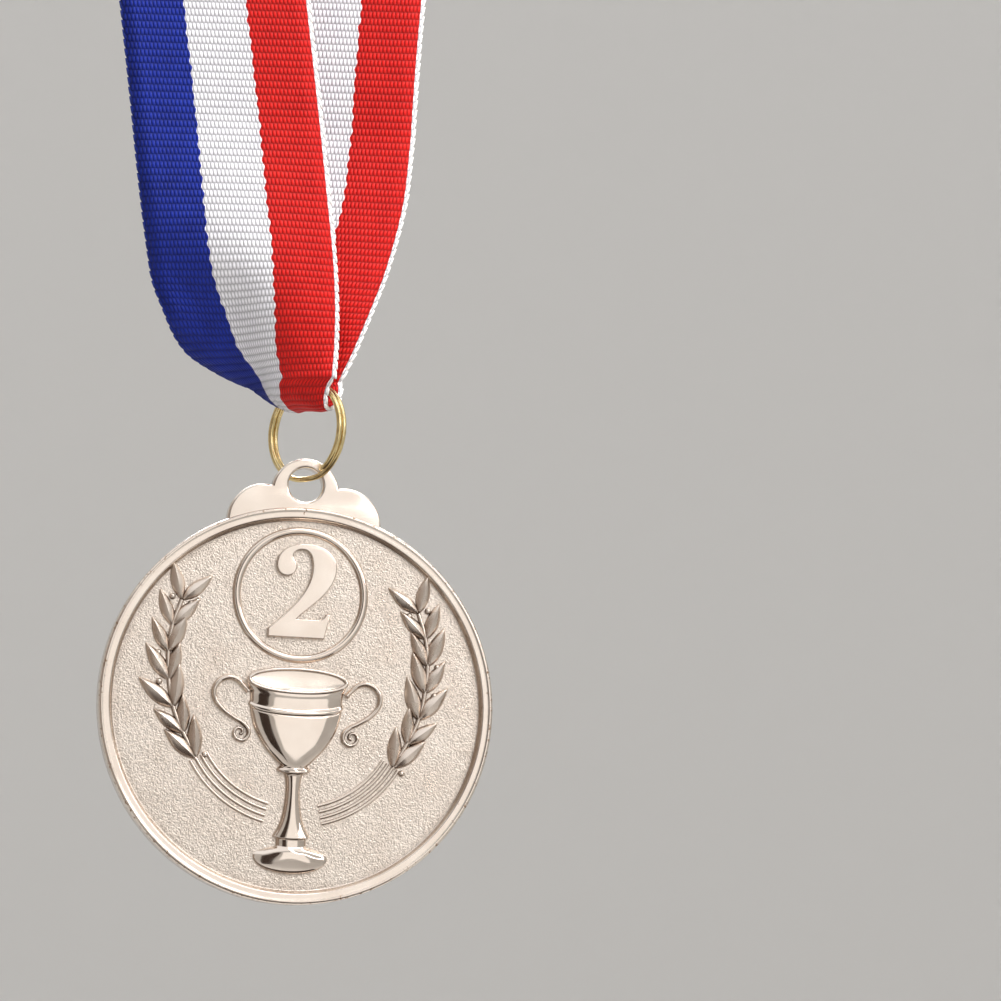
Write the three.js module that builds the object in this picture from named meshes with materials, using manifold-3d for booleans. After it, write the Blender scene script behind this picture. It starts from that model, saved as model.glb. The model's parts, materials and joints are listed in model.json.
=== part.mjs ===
// Award medal on a sewn neck ribbon.
// Millimetres, +Z up, the medal's front faces -Y. The origin is the hanging point: the inner face of the
// ribbon at the top of its loop, where a neck, a hook or a rail carries the whole medal.
// Everything is placed from the centre of the disc, and the last group moves it down to hang from the origin.

import * as THREE from 'three';
import { mergeVertices } from 'three/addons/utils/BufferGeometryUtils.js';
import Module from 'manifold-3d';

const wasm = await Module();
wasm.setup();

// ---- Driving dimensions, mm ----

// Disc
const discRadius = 25;
const rimThickness = 3;
const rimWidth = 1.5;            // raised rim, flat and inner slope together
const rimSlope = 0.5;            // how far the inner wall of the rim leans in
const fieldDepth = 0.8;          // recess of each face below its rim
const edgeRound = 0.35;

// Lug and its hole
const lugThickness = 2;
const lugWall = 2.1;             // round the hole
const lugLobeRise = 2;           // lobe centre above the disc's edge
const lugShoulderRadius = 4.7;
const lugShoulderSpread = 5.1;   // shoulder centre from the middle line
const lugShoulderInset = 1.35;   // shoulder centre inside the disc's edge
const holeRise = 2.95;           // hole centre above the disc's edge
const holePlay = 0.3;            // round the two wires that pass slantwise through the hole

// Split ring
const wireDiameter = 0.7;
const coilGap = 0.06;
const ringMeanRadius = 6.2;
const ringYaw = 55;              // degrees from the disc's plane, right limb to the front
const ringPlay = 0.3;            // between the wire and the top of the hole

// Ribbon
const ribbonWidth = 24;
const ribbonThickness = 0.6;
const foldSideGap = 1.6;         // each side of the gathered ribbon inside the ring
const gatheredThickness = 1.4;
const bightPlay = 1.2;           // between the wire and the inside of the ribbon's fold
const fanStart = 1;              // below the top wire, where the folded ribbon starts to open
const fanHeight = 12.5;          // over which it opens to its full width
const fanTurn = 12;              // degrees the opened ribbon still faces to the left
const fanRise = 33;              // from the top wire to where both straps hang freely
const leftStrapOffset = 12.2;    // middle of each strap there, from the medal's middle line
const rightStrapOffset = 0.6;
const strapStagger = 2.5;        // the left strap hangs this much in front, the right one behind
const leftLean = -0.148;         // sideways run for each mm of rise
const rightLean = 0.02;
const splitAboveWire = 3.4;      // height of the parting between the fold and the straps
const crownRadius = 40;          // the loop's inner radius over the neck
const loopRise = 316.88;         // centre of that arc above the ring's top wire
const lapLength = 20;            // how far the two sewn ends overlap
const threadDiameter = 0.4;
const partGap = 0.3;             // between solids that touch

// Relief, heights above the recessed field
const artMargin = 1.7;           // from the laurel's widest leaf to the foot of the rim
const numeralHeight = 12;
const numeralRelief = 0.7;
const haloRadius = 8.05;         // bead ring round the numeral
const beadWidth = 0.8;
const cupRelief = 1.4;
const leafLength = 4.4;
const leafWidth = 1.9;
const leafRelief = 0.7;
const leafSpread = 36;           // degrees from the stem
const leafPairs = 6;
const arcCount = 4;
const arcInnerRadius = 12.9;
const arcPitch = 0.77;
const arcFrom = 30;              // degrees below the horizontal
const arcTo = 76;

// ---- Worked out from them ----

const degree = Math.PI / 180;
const halfRim = rimThickness / 2;
const fieldLevel = halfRim - fieldDepth;
const wireRadius = wireDiameter / 2;
const coilPitch = wireDiameter + coilGap;
const bundleHalfWidth = (coilPitch + wireDiameter) / 2;
const yaw = ringYaw * degree;
const wireSpan = (bundleHalfWidth + lugThickness / 2 * Math.cos(yaw)) / Math.sin(yaw) + ringPlay;
const holeRadius = wireSpan + holePlay;
const holeHeight = discRadius + holeRise;
const lowWireHeight = holeHeight + Math.sqrt(holeRadius ** 2 - wireSpan ** 2) - wireRadius;
const ringHeight = lowWireHeight + ringMeanRadius;
const topWireHeight = ringHeight + ringMeanRadius;
const splitHeight = topWireHeight + splitAboveWire;
const crownHeight = topWireHeight + loopRise;
const fanTop = topWireHeight + fanRise;
const foldRadius = bundleHalfWidth + bightPlay + gatheredThickness / 2;
const foldDepth = foldRadius + gatheredThickness / 2;
const eyeRadius = ringMeanRadius - wireRadius;
const foldChord = Math.sqrt(eyeRadius ** 2 - (ringMeanRadius - foldDepth) ** 2);
const gatheredWidth = 2 * (foldChord - foldSideGap);
const acrossRing = new THREE.Vector3(Math.sin(yaw), Math.cos(yaw), 0);
const up = new THREE.Vector3(0, 0, 1);

// ---- Materials ----

const silverPlate = new THREE.MeshStandardMaterial({ color: '#d8cbbf', roughness: 0.25, metalness: 1 });
const brassWire = new THREE.MeshStandardMaterial({ color: '#c9a650', roughness: 0.22, metalness: 1 });
const wovenRed = new THREE.MeshStandardMaterial({ color: '#c8161a', roughness: 0.8, metalness: 0 });
const wovenBlue = new THREE.MeshStandardMaterial({ color: '#1b2f8f', roughness: 0.8, metalness: 0 });
const wovenWhite = new THREE.MeshStandardMaterial({ color: '#f2eef2', roughness: 0.8, metalness: 0 });
const sewingThread = new THREE.MeshStandardMaterial({ color: '#f6f4f2', roughness: 0.7, metalness: 0 });

// ---- Small tools ----

function bare(geometry) {
  const copy = geometry.clone();
  copy.deleteAttribute('normal');
  copy.deleteAttribute('uv');
  return mergeVertices(copy, 1e-4);
}

function solid(geometry) {
  const merged = bare(geometry);
  return new wasm.Manifold(new wasm.Mesh({
    numProp: 3,
    vertProperties: new Float32Array(merged.attributes.position.array),
    triVerts: new Uint32Array(merged.index.array),
  }));
}

function geometryOf(manifold) {
  const mesh = manifold.getMesh();
  const geometry = new THREE.BufferGeometry();
  geometry.setAttribute('position', new THREE.BufferAttribute(new Float32Array(mesh.vertProperties), 3));
  geometry.setIndex(new THREE.BufferAttribute(new Uint32Array(mesh.triVerts), 1));
  geometry.computeVertexNormals();
  return geometry;
}

function smooth(low, high, value) {
  return THREE.MathUtils.smoothstep(value, low, high);
}

function roundSection(radius, sides) {
  const points = [];
  for (let i = 0; i < sides; i += 1) {
    const angle = i / sides * 2 * Math.PI;
    points.push(new THREE.Vector2(radius * Math.cos(angle), radius * Math.sin(angle)));
  }
  return new THREE.Shape(points);
}

function tube(path, radius, sides, steps) {
  return new THREE.ExtrudeGeometry(roundSection(radius, sides), { extrudePath: path, steps });
}

// ---- Medal: one casting. Its own axes are x right, y up, z out of the front face. ----

function discBlank() {
  const inner = discRadius - rimWidth;
  const profile = [
    new THREE.Vector2(0, -fieldLevel),
    new THREE.Vector2(inner - rimSlope, -fieldLevel),
    new THREE.Vector2(inner, -halfRim),
    new THREE.Vector2(discRadius - edgeRound, -halfRim),
    new THREE.Vector2(discRadius, -halfRim + edgeRound),
    new THREE.Vector2(discRadius, halfRim - edgeRound),
    new THREE.Vector2(discRadius - edgeRound, halfRim),
    new THREE.Vector2(inner, halfRim),
    new THREE.Vector2(inner - rimSlope, fieldLevel),
    new THREE.Vector2(0, fieldLevel),
  ];
  return solid(new THREE.LatheGeometry(profile, 96).rotateX(Math.PI / 2));
}

// The lug is a round lobe between two round shoulders. It grows out of the middle of the rim.
function lugPlate() {
  const root = discRadius - rimWidth / 2;
  const lobe = new THREE.Shape();
  lobe.absarc(0, discRadius + lugLobeRise, holeRadius + lugWall, 0, 2 * Math.PI);
  const options = { depth: lugThickness, bevelEnabled: false, curveSegments: 24 };
  let plate = solid(new THREE.ExtrudeGeometry(lobe, options));
  const shoulderHeight = Math.sqrt((discRadius - lugShoulderInset) ** 2 - lugShoulderSpread ** 2);
  for (const side of [-1, 1]) {
    const shoulder = new THREE.Shape();
    shoulder.absarc(side * lugShoulderSpread, shoulderHeight, lugShoulderRadius, 0, 2 * Math.PI);
    plate = plate.add(solid(new THREE.ExtrudeGeometry(shoulder, options)));
  }
  const centred = plate.translate([0, 0, -lugThickness / 2]);
  const core = new THREE.CylinderGeometry(root, root, 2 * rimThickness, 96).rotateX(Math.PI / 2);
  const bore = new THREE.CylinderGeometry(holeRadius, holeRadius, 2 * rimThickness, 40);
  bore.rotateX(Math.PI / 2).translate(0, holeHeight, 0);
  return centred.subtract(solid(core)).subtract(solid(bore));
}

// The relief is drawn for a laurel that reaches 21.3 mm from the middle, then fitted to the real field.
const drawnReach = 21.3;
const artScale = (discRadius - rimWidth - rimSlope - artMargin) / drawnReach;
const artPlaces = { numeralLeft: -4.15, numeralFoot: 8.4, haloHeight: 13.9 };

// An old-style figure: ball terminal, swelling bowl, flat foot with a turned-up serif.
function numeral() {
  const drawnHeight = 12;
  const unit = numeralHeight / drawnHeight;
  const figure = new THREE.Shape();
  figure.moveTo(0, 0);
  figure.lineTo(7.2, 0);
  figure.lineTo(7.9, 3.2);
  figure.lineTo(7.3, 3.2);
  figure.bezierCurveTo(7.1, 2.6, 6.9, 2.4, 6.2, 2.4);
  figure.lineTo(3.6, 2.4);
  figure.bezierCurveTo(5, 3.9, 8.5, 6, 8.5, 9);
  figure.bezierCurveTo(8.5, 11, 6.8, 12, 4.6, 12);
  figure.bezierCurveTo(2.4, 12, 0.8, 10.9, 0.8, 9.2);
  figure.bezierCurveTo(0.8, 8.4, 1.4, 7.8, 2.15, 7.8);
  figure.bezierCurveTo(2.9, 7.8, 3.4, 8.4, 3.4, 9.05);
  figure.bezierCurveTo(3.4, 9.9, 2.8, 10, 2.9, 10.5);
  figure.bezierCurveTo(3, 11, 3.6, 11.2, 4.1, 11.2);
  figure.bezierCurveTo(5, 11.2, 5.4, 10.3, 5.4, 9);
  figure.bezierCurveTo(5.4, 6.2, 3, 3.6, 0, 1.1);
  const depth = numeralRelief + fieldDepth / 2;
  const flat = new THREE.ExtrudeGeometry(figure, { depth, bevelEnabled: false, curveSegments: 6 });
  flat.scale(unit, unit, 1);
  flat.translate(artPlaces.numeralLeft, artPlaces.numeralFoot, fieldLevel - fieldDepth / 2);
  return solid(flat);
}

function numeralHalo() {
  const bead = [];
  for (let i = 0; i <= 8; i += 1) {
    const angle = i / 8 * 2 * Math.PI;
    const x = haloRadius + beadWidth / 2 * Math.cos(angle);
    bead.push(new THREE.Vector2(x, beadWidth / 2 * Math.sin(angle)));
  }
  const ring = new THREE.LatheGeometry(bead, 64).rotateX(Math.PI / 2);
  return solid(ring.translate(0, artPlaces.haloHeight, fieldLevel));
}

// The trophy cup is a turned shape pressed flat: its depth is a share of its width.
function trophyCup() {
  const profile = [
    [0, -21.3], [4.6, -21.3], [4.75, -20.6], [3.9, -18.9], [2.1, -18.2], [1.9, -17.4], [2.4, -16.7],
    [1.6, -15], [1, -12], [0.95, -10], [1.35, -8.7], [2.1, -8.2], [1.7, -7.8], [3.7, -5.5], [5.5, -2.6],
    [6.1, -0.4], [6.5, -0.2], [6.2, 1.2], [6.3, 2.4], [6.1, 3.2], [4.6, 4], [0, 4.3],
  ].map(([radius, height]) => new THREE.Vector2(radius, height));
  const widest = 6.5;
  const cup = new THREE.LatheGeometry(profile, 24).scale(1, 1, cupRelief / widest);
  return solid(cup.translate(0, 0, fieldLevel));
}

function cupHandle(side) {
  const route = new THREE.CatmullRomCurve3([
    new THREE.Vector3(side * 5.6, 1, 0),
    new THREE.Vector3(side * 8.9, 2.6, 0),
    new THREE.Vector3(side * 10.3, 1.2, 0),
    new THREE.Vector3(side * 7.4, -2, 0),
    new THREE.Vector3(side * 6.2, -3.9, 0),
    new THREE.Vector3(side * 7.2, -4.7, 0),
  ]);
  return solid(tube(route, beadWidth / 2, 8, 20).translate(0, 0, fieldLevel));
}

class RoundArc extends THREE.Curve {
  constructor(radius, start, end) {
    super();
    this.radius = radius;
    this.start = start;
    this.end = end;
  }

  getPoint(t, target = new THREE.Vector3()) {
    const angle = THREE.MathUtils.lerp(this.start, this.end, t);
    return target.set(this.radius * Math.cos(angle), this.radius * Math.sin(angle), 0);
  }
}

function beadArcs(side) {
  let arcs = null;
  for (let i = 0; i < arcCount; i += 1) {
    const start = (side * (90 - arcTo) - 90) * degree;
    const end = (side * (90 - arcFrom) - 90) * degree;
    const path = new RoundArc(arcInnerRadius + i * arcPitch, start, end);
    const arc = solid(tube(path, arcPitch / 2 - 0.08, 6, 10).translate(0, 0, fieldLevel));
    arcs = arcs ? arcs.add(arc) : arc;
  }
  return arcs;
}

function leaf(length, width) {
  const body = new THREE.SphereGeometry(1, 8, 5);
  body.rotateZ(Math.PI / 2);
  body.scale(length / 2, width / 2, leafRelief);
  body.translate(length / 2, 0, 0);
  return body;
}

function laurelBranch(side) {
  const stem = new THREE.CatmullRomCurve3([
    new THREE.Vector3(side * 12.9, -6.8, 0),
    new THREE.Vector3(side * 15.6, -1, 0),
    new THREE.Vector3(side * 16.5, 6, 0),
    new THREE.Vector3(side * 15.1, 12.4, 0),
  ]);
  let branch = solid(tube(stem, 0.35, 6, 14).translate(0, 0, fieldLevel));
  for (let i = 0; i < leafPairs; i += 1) {
    const share = 0.17 + 0.83 * i / (leafPairs - 1);
    const at = stem.getPointAt(share);
    const along = stem.getTangentAt(share);
    const heading = Math.atan2(along.y, along.x);
    for (const turn of [-1, 1]) {
      const spread = i === leafPairs - 1 ? leafSpread * 0.8 : leafSpread;
      const one = leaf(leafLength, leafWidth).rotateZ(heading + turn * spread * degree);
      branch = branch.add(solid(one.translate(at.x, at.y, fieldLevel)));
    }
  }
  return branch;
}

function medalCasting() {
  let relief = numeral().add(numeralHalo()).add(trophyCup());
  for (const side of [-1, 1]) {
    relief = relief.add(cupHandle(side)).add(beadArcs(side)).add(laurelBranch(side));
  }
  const fitted = relief.scale([artScale, artScale, 1]);
  return geometryOf(discBlank().add(lugPlate()).add(fitted));
}

// ---- Split ring: one wire wound in two flat coils that change places at a short jog. ----

class TwoCoils extends THREE.Curve {
  getPoint(t, target = new THREE.Vector3()) {
    const jog = 14 * degree;
    const start = -90 * degree + 34 * degree;
    const turned = t * (4 * Math.PI - 5 * jog);
    const shift = coilPitch * (smooth(2 * Math.PI - 2.6 * jog, 2 * Math.PI - 0.6 * jog, turned) - 0.5);
    const angle = start + turned;
    return target.set(ringMeanRadius * Math.cos(angle), shift, ringMeanRadius * Math.sin(angle));
  }
}

function splitRing() {
  return tube(new TwoCoils(), wireRadius, 8, 110);
}

// ---- Ribbon: a flat strip carried along stations. Each has a centre, a width and a thickness direction. ----

function strip(stations) {
  const count = stations.length - 1;
  const box = new THREE.BoxGeometry(2, 2, count, 2, 1, count);
  const place = box.attributes.position;
  for (let i = 0; i < place.count; i += 1) {
    const station = stations[Math.round(place.getZ(i) + count / 2)];
    const point = station.centre.clone();
    point.addScaledVector(station.across, place.getX(i));
    point.addScaledVector(station.through, place.getY(i));
    place.setXYZ(i, point.x, point.y, point.z);
  }
  return bare(box);
}

// The fold's end, then the fan that opens over the ring, then the long strap up to the crown.
const kneeRise = 3;              // how far the ribbon rises before it fans out sideways
const kneeOffset = { left: -4.6, right: 3 };
const fanEase = 14;              // how long the fan already follows the strap's own lean
const strapEaseLow = 110;
const strapEaseHigh = 130;
const twistStart = 20;           // above the fan
const twistEnd = 10;             // below the crown

function strapCurves(side) {
  const foot = acrossRing.clone().multiplyScalar(side * foldRadius).setZ(topWireHeight);
  const front = side < 0;
  const offset = front ? -leftStrapOffset : rightStrapOffset;
  const top = new THREE.Vector3(offset, side * strapStagger, fanTop);
  const lean = new THREE.Vector3(front ? leftLean : rightLean, 0, 1);
  const kneeX = front ? kneeOffset.left : kneeOffset.right;
  const knee = new THREE.Vector3(kneeX, foot.y, topWireHeight + kneeRise);
  const crown = new THREE.Vector3(side * (crownRadius + ribbonThickness / 2), 0, crownHeight);
  return {
    fan: new THREE.CubicBezierCurve3(foot, knee, top.clone().addScaledVector(lean, -fanEase), top),
    strap: new THREE.CubicBezierCurve3(
      top,
      top.clone().addScaledVector(lean, strapEaseLow),
      crown.clone().addScaledVector(up, -strapEaseHigh),
      crown,
    ),
  };
}

function ribbonStation(centre) {
  const opened = Math.min(1, Math.max(0, (centre.z - topWireHeight + fanStart) / fanHeight));
  const fan = 1 - (1 - opened) ** 2;
  const twist = smooth(fanTop + twistStart, crownHeight - twistEnd, centre.z);
  const turn = THREE.MathUtils.lerp(THREE.MathUtils.lerp(ringYaw, fanTurn, fan), 90, twist) * degree;
  const width = THREE.MathUtils.lerp(gatheredWidth, ribbonWidth, fan);
  const thickness = THREE.MathUtils.lerp(gatheredThickness, ribbonThickness, fan);
  return {
    centre,
    across: new THREE.Vector3(Math.cos(turn), -Math.sin(turn), 0).multiplyScalar(width / 2),
    through: new THREE.Vector3(Math.sin(turn), Math.cos(turn), 0).multiplyScalar(thickness / 2),
  };
}

function strapStations(side) {
  const { fan, strap } = strapCurves(side);
  const lowEnd = heightShare(fan, splitHeight);
  const stations = [];
  for (let i = 0; i <= 12; i += 1) {
    stations.push(ribbonStation(fan.getPoint(THREE.MathUtils.lerp(lowEnd, 1, i / 12))));
  }
  for (let i = 1; i <= 26; i += 1) {
    stations.push(ribbonStation(strap.getPoint(i / 26)));
  }
  stations[stations.length - 1].centre.z -= partGap;
  return stations;
}

// Where along a rising curve a height is reached.
function heightShare(curve, height) {
  let low = 0;
  let high = 1;
  for (let i = 0; i < 40; i += 1) {
    const middle = (low + high) / 2;
    if (curve.getPoint(middle).z < height) {
      low = middle;
    } else {
      high = middle;
    }
  }
  return low;
}

// The fold hangs under the ring's top wire as a U, with a short leg up to each strap.
function foldStations() {
  const legs = {};
  for (const side of [-1, 1]) {
    const { fan } = strapCurves(side);
    const end = heightShare(fan, splitHeight - partGap);
    legs[side] = [];
    for (let i = 0; i <= 5; i += 1) {
      legs[side].push(ribbonStation(fan.getPoint(end * i / 5)));
    }
  }
  const stations = legs[-1].reverse();
  for (const station of stations) {
    station.through.negate();
  }
  for (let i = 1; i < 12; i += 1) {
    const angle = Math.PI + Math.PI * i / 12;
    const out = acrossRing.clone().multiplyScalar(Math.cos(angle)).addScaledVector(up, Math.sin(angle));
    const centre = out.clone().multiplyScalar(foldRadius).addScaledVector(up, topWireHeight);
    const foot = ribbonStation(centre);
    stations.push({
      centre,
      across: foot.across,
      through: out.multiplyScalar(gatheredThickness / 2),
    });
  }
  return stations.concat(legs[1]);
}

// The crown lies over the neck as half a circle. Its left end laps over its right end and is sewn down.
const lapTurn = lapLength / crownRadius / 2;

function crownPoint(angle, level) {
  const radius = crownRadius + level;
  return new THREE.Vector3(radius * Math.cos(angle), 0, crownHeight + radius * Math.sin(angle));
}

function crownStation(angle, level, side) {
  const outward = new THREE.Vector3(Math.cos(angle), 0, Math.sin(angle));
  return {
    centre: crownPoint(angle, level),
    across: new THREE.Vector3(0, -ribbonWidth / 2, 0),
    through: outward.multiplyScalar(side * ribbonThickness / 2),
  };
}

function crownStations(side) {
  const from = side < 0 ? Math.PI : 0;
  const to = Math.PI / 2 + side * lapTurn;
  const lifted = side < 0 ? ribbonThickness + partGap : 0;
  const stations = [];
  for (let i = 0; i <= 28; i += 1) {
    const angle = THREE.MathUtils.lerp(from, to, i / 28);
    const pastLap = Math.PI / 2 + lapTurn - angle;
    const lift = lifted * smooth(-2.4 * lapTurn, -0.2 * lapTurn, pastLap);
    stations.push(crownStation(angle, ribbonThickness / 2 + lift, side));
  }
  return stations;
}

// One zigzag of thread across the lap, above the outer layer.
function seamThread() {
  const level = 2 * ribbonThickness + 2 * partGap + threadDiameter / 2;
  const reach = ribbonWidth / 2 - 2;
  const points = [];
  const turns = 7;
  for (let i = 0; i <= turns; i += 1) {
    const angle = Math.PI / 2 + lapTurn * 0.6 * (i % 2 === 0 ? 1 : -1);
    const point = crownPoint(angle, level);
    point.y = THREE.MathUtils.lerp(-reach, reach, i / turns);
    if (i > 0) {
      const middle = crownPoint(Math.PI / 2, level);
      middle.y = THREE.MathUtils.lerp(-reach, reach, (i - 0.5) / turns);
      points.push(middle);
    }
    points.push(point);
  }
  return tube(new THREE.CatmullRomCurve3(points, false, 'centripetal'), threadDiameter / 2, 6, 84);
}

// ---- Assembly ----

function named(name, geometry, material) {
  const mesh = new THREE.Mesh(geometry, material);
  mesh.name = name;
  return mesh;
}

const medal = named('medal_casting', medalCasting(), silverPlate);
medal.rotation.x = Math.PI / 2;

const ring = named('split_ring', splitRing(), brassWire);
ring.position.z = ringHeight;
ring.rotation.z = -yaw;

const hanging = new THREE.Group();
hanging.add(medal);
hanging.add(ring);
hanging.add(named('ribbon_fold', strip(foldStations()), wovenWhite));
hanging.add(named('ribbon_strap_left', strip(strapStations(-1)), wovenBlue));
hanging.add(named('ribbon_strap_right', strip(strapStations(1)), wovenRed));
hanging.add(named('ribbon_crown_left', strip(crownStations(-1)), wovenBlue));
hanging.add(named('ribbon_crown_right', strip(crownStations(1)), wovenRed));
hanging.add(named('seam_thread', seamThread(), sewingThread));
hanging.position.z = -(crownHeight + crownRadius);

const group = new THREE.Group();
group.add(hanging);

export default group;
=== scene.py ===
import json
import math

import bmesh
import bpy
import numpy as np
from mathutils import Matrix, Vector, noise


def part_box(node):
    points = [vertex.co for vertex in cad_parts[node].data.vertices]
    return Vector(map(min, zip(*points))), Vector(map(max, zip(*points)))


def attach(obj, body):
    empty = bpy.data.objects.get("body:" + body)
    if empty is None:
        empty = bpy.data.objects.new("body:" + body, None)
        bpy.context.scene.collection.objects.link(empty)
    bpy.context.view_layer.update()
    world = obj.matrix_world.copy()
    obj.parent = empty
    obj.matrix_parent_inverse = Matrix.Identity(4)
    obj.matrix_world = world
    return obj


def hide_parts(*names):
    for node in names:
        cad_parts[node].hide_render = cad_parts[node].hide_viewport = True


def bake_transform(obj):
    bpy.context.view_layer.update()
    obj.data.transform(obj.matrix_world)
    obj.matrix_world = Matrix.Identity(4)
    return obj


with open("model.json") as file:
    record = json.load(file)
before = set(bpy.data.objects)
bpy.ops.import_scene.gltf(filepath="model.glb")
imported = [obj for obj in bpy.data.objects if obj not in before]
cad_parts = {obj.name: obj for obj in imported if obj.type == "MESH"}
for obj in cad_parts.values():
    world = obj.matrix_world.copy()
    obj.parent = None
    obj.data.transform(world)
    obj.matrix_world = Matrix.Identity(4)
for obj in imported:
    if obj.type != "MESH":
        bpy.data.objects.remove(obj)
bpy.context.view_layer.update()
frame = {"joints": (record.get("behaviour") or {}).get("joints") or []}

mm = 0.001


# ---- Camera ----
# A long lens a little to the left of the medal and a little below it, held with a slight tilt.
# The medal sits low and left in the frame, and its ribbon leaves the frame at the top.

medal_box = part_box("medal_casting")
disc_radius = (medal_box[1].x - medal_box[0].x) / 2
disc_centre = Vector((0, 0, medal_box[0].z + disc_radius))
lens_mm = 150
sensor_mm = 36
frame_width = 125.75 * mm      # seen at the medal's distance
aim_right = 25.7 * mm          # from the disc's centre to the middle of the frame
aim_up = 25.75 * mm
camera_azimuth = -11.8
camera_elevation = -8.8
camera_roll = math.radians(1.9)


def direction(azimuth, elevation):
    """From the medal towards a point round it, in degrees: azimuth 0 is in front, 90 to the right."""
    a, e = math.radians(azimuth), math.radians(elevation)
    return Vector((math.sin(a) * math.cos(e), -math.cos(a) * math.cos(e), math.sin(e)))


def new_object(name, data):
    thing = bpy.data.objects.new(name, data)
    bpy.context.scene.collection.objects.link(thing)
    return thing


away = direction(camera_azimuth, camera_elevation)
level_right = Vector((0, 0, 1)).cross(away).normalized()
level_up = away.cross(level_right)
view_right = level_right * math.cos(camera_roll) + level_up * math.sin(camera_roll)
view_up = level_up * math.cos(camera_roll) - level_right * math.sin(camera_roll)
view_distance = frame_width * lens_mm / sensor_mm
camera_data = bpy.data.cameras.new("camera")
camera_data.lens = lens_mm
camera_data.sensor_width = sensor_mm
camera_data.clip_end = 50
camera = new_object("camera", camera_data)
turned = Matrix((view_right, view_up, away)).transposed().to_4x4()
place = disc_centre + view_right * aim_right + view_up * aim_up + away * view_distance
camera.matrix_world = Matrix.Translation(place) @ turned
bpy.context.scene.camera = camera


# ---- Neck ribbon ----
# One length of woven polyester grosgrain in blue, white and red. It runs from its inner end at the top
# of the loop down the right side, under the ring's wire and up the left side, and its two ends lap at
# the top. Where it passes through the ring it is bunched up.

ribbon_width = 24 * mm
ribbon_length = 800 * mm
ribbon_wall = 0.42 * mm
rib_pitch = 0.92 * mm
yarn_pitch = 0.5 * mm
rib_height = 0.05 * mm
rows_per_rib = 4
stripe_width = 8 * mm
stripe_colours = [("#0b1a70", "#1630a4"), ("#dfdce4", "#f8f6f9"), ("#b80708", "#e01d14")]
column_count = 13

joints = {joint["name"]: joint for joint in frame["joints"]}
top_wire = Vector(joints["ring_swing"]["pos_m"])
low_wire = Vector(joints["medal_swing"]["pos_m"])
along_wire = Vector(joints["ring_swing"]["axis"])
across_wire = Vector((0, 0, 1)).cross(along_wire)
crown_low, crown_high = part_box("ribbon_crown_right")
crown_inside = 40 * mm
crown_wall = crown_high.x - crown_inside
crown_radius = crown_high.x - crown_wall / 2
crown_centre_z = crown_low.z
lap_length = 20 * mm
lap_angle = lap_length / crown_inside / 2
lap_lift = 0.9 * mm

# Heights above the ring's top wire, in mm, at which the ribbon is described while it fans out: the heading
# of each stripe away from the red edge, in degrees towards the back, and how much of its width shows.
fan_heights = [0, 1.5, 4, 9, 15, 24, 33]
fan_top_z = top_wire.z + fan_heights[-1] * mm
stripe_marks = [0, 0.5, 1.5, 2.5, 3]      # the two edges and the stripes' middles, in stripe widths
red_heading = [28, 24, 15, 3, 1, 6, 12]
white_heading = [60, 60, 55, 46, 20, 13, 12]
blue_heading = [60, 42, 25, 8, 24, 18, 12]
red_share = [0.92, 0.97, 1, 1, 1, 1, 1]
white_share = [0.45, 0.52, 0.72, 0.92, 1, 1, 1]
blue_share = [0.5, 0.75, 0.95, 1, 1, 1, 1]
# Where the red edge of each strap runs, in mm from the middle line: left strap, then right strap.
red_edge = {
    -1: ([2.3, 2.4, 2.5, 2.4, 1.9, 0.7, -0.5], [-5.7, -5.6, -5.4, -5.2, -5.2, -5.2, -5.0]),
    1: ([3.7, 4.3, 5.4, 7.3, 9.4, 11.5, 12.3], [-1.4, -1.6, -1.7, -1.5, -0.9, -0.4, 0.0]),
}
# Under the wire: how far along the wire each stripe reaches, from the red edge.
bunched_edges = [3.8, -1.8, -3.3, -4.0]
bunch_depth = 3.15 * mm
bunch_gather = 0.6             # under 1, so the ribbon gathers soon after it goes under the wire
wire_room = 1.35 * mm          # from the ring's plane to the strap behind it
swing_room = 3.2 * mm          # added to that at the ring's two sides, so that the ring can swing
swing_reach = (1.5 * mm, 8 * mm)      # along the wire, where that room starts and where it is full
clear_heights = (3, 13)        # mm above the wire, over which the strap comes back to its own path
clear_round = 0.5 * mm
# Between the fan and the crown, left strap then right strap: where it starts, and how it leans there.
strap_foot = {-1: -12.24 * mm, 1: 0.56 * mm}
strap_lean = {-1: -0.148, 1: 0.02}
strap_back = 2.5 * mm
strap_low_pull = 110           # mm
strap_high_pull = 130
strap_foot_turn = 12           # degrees
strap_turn = 78


def eased(keys, values, at):
    """Reads a smooth curve through a few keys and their values."""
    at = min(max(at, keys[0]), keys[-1])
    step = max(i for i in range(len(keys)) if keys[i] <= at)
    step = min(step, len(keys) - 2)
    slopes = []
    for i in (step, step + 1):
        before, after = max(i - 1, 0), min(i + 1, len(keys) - 1)
        slopes.append((values[after] - values[before]) / (keys[after] - keys[before]))
    span = keys[step + 1] - keys[step]
    t = (at - keys[step]) / span
    return (
        (2 * t**3 - 3 * t**2 + 1) * values[step] + (t**3 - 2 * t**2 + t) * span * slopes[0]
        + (3 * t**2 - 2 * t**3) * values[step + 1] + (t**3 - t**2) * span * slopes[1]
    )


def smooth_step(low, high, value):
    t = min(max((value - low) / (high - low), 0), 1)
    return t * t * (3 - 2 * t)


columns = np.linspace(1, -1, column_count) * ribbon_width / 2     # from the red edge to the blue edge


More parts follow.
